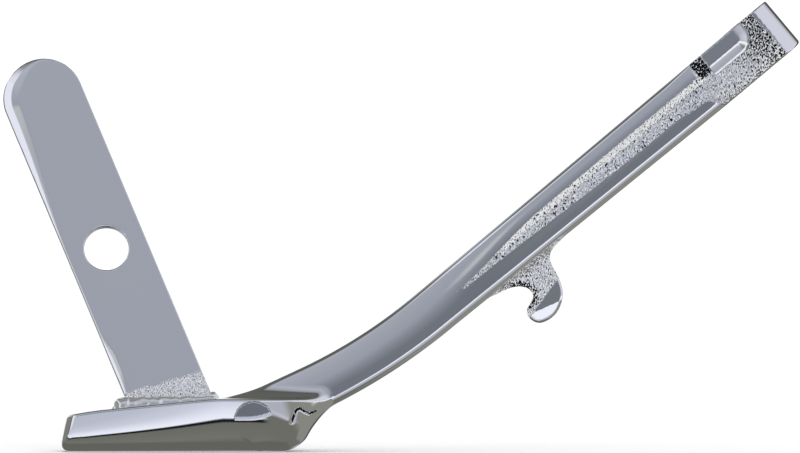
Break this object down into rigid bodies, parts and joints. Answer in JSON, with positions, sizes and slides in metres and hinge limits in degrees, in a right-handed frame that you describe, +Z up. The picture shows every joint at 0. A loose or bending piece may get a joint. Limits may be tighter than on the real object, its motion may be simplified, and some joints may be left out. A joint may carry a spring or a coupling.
{
  "type": "motorcycle kickstand",
  "caption": "Chrome side-stand leg for a heavy motorcycle: bent cast arm with bored pivot head, stop pad and spring hook, wedge foot and drilled flat-bar kick lever.",
  "frame": {"origin": "centre of the pivot bore, midway between its two thrust faces", "axes": "+X towards the pivot end along the stand's length, +Z up with the stand down on its sole, -Y out of the side that carries the stop pad"},
  "size_m": [0.3114, 0.0502, 0.1749],
  "materials": {
    "chrome_casting": "bright chrome plate, polished on the rails, as-cast grain left in the channel",
    "chrome_foot": "bright chrome plate over a polished block",
    "chrome_bar": "bright chrome plate over polished flat bar, grained near the weld",
    "chrome_weld": "chrome plate over weld bead"
  },
  "bodies": {
    "root": {"arm": "chrome_casting", "foot": "chrome_foot", "kick_lever": "chrome_bar", "lever_weld_outer": "chrome_weld", "lever_weld_inner": "chrome_weld", "lever_weld_toe": "chrome_weld", "lever_weld_arm": "chrome_weld", "knee_weld_outer": "chrome_weld", "knee_weld_inner": "chrome_weld"}
  },
  "joints": []
}
